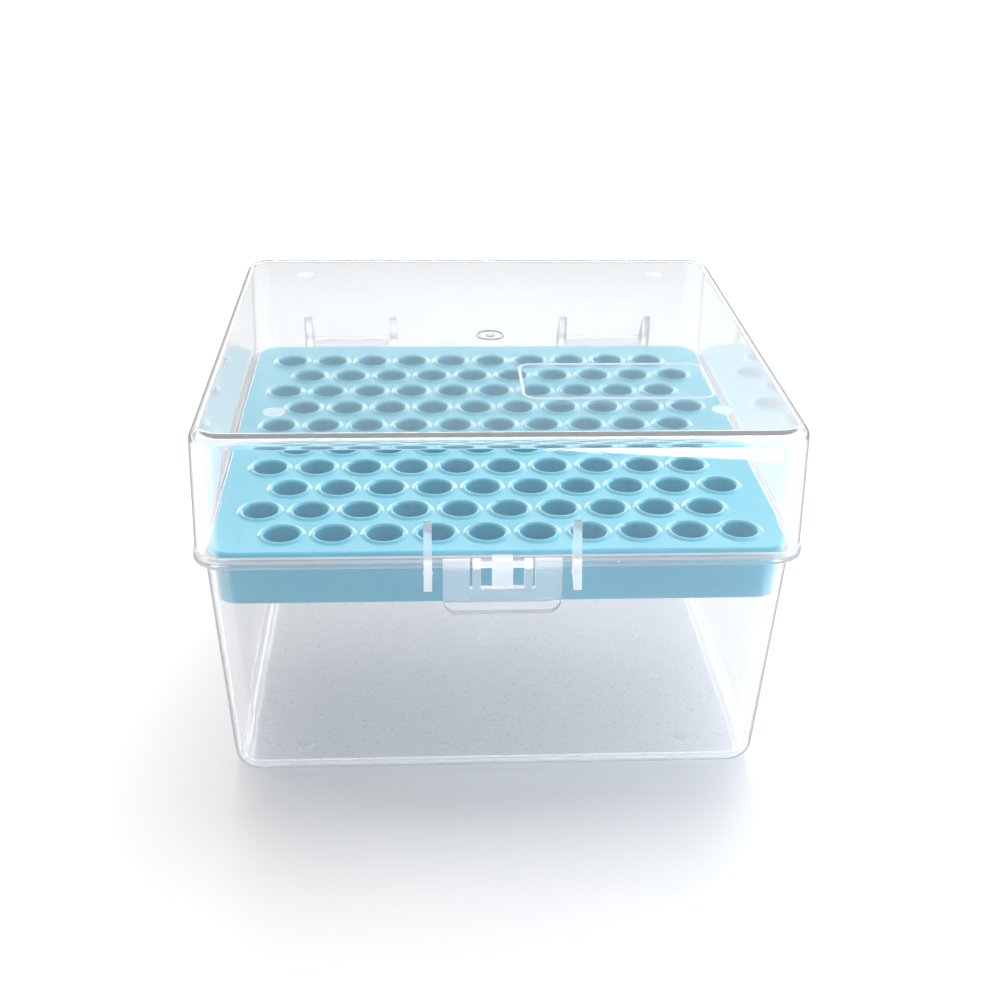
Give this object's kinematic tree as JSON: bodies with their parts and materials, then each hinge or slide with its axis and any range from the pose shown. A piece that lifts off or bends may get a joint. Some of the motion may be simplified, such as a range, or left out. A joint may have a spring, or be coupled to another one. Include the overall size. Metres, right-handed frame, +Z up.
{
  "type": "box of pipette tips",
  "caption": "Hinged clear box with a drafted tub, a lift-out tray of staggered wells for long pipette tips, a clear lid on moulded hinge pins and a flip latch.",
  "frame": {"origin": "middle of the tub's flat underside, where the box stands", "axes": "+Z up, +Y towards the hinge at the rear, +X to the right seen from the latch"},
  "size_m": [0.129, 0.1397, 0.0852],
  "materials": {
    "clear_tub": "moulded natural polypropylene, slightly milky",
    "blue_tray": "moulded light blue polypropylene",
    "clear_lid": "moulded clarified polypropylene, glossy",
    "clear_latch": "moulded clarified polypropylene, glossy"
  },
  "bodies": {
    "base": {"base_tub": "clear_tub", "tip_tray": "blue_tray"},
    "lid": {"lid": "clear_lid"},
    "latch": {"latch": "clear_latch"}
  },
  "joints": [
    {"name": "lid_hinge", "type": "hinge", "parent": "base", "child": "lid", "pos_m": [0, 0.067, 0.057], "axis": [-1, 0, 0], "range_deg": [0, 110]},
    {"name": "latch_pivot", "type": "hinge", "parent": "lid", "child": "latch", "pos_m": [0, -0.0651, 0.0574], "axis": [-1, 0, 0], "range_deg": [0, 110]}
  ]
}
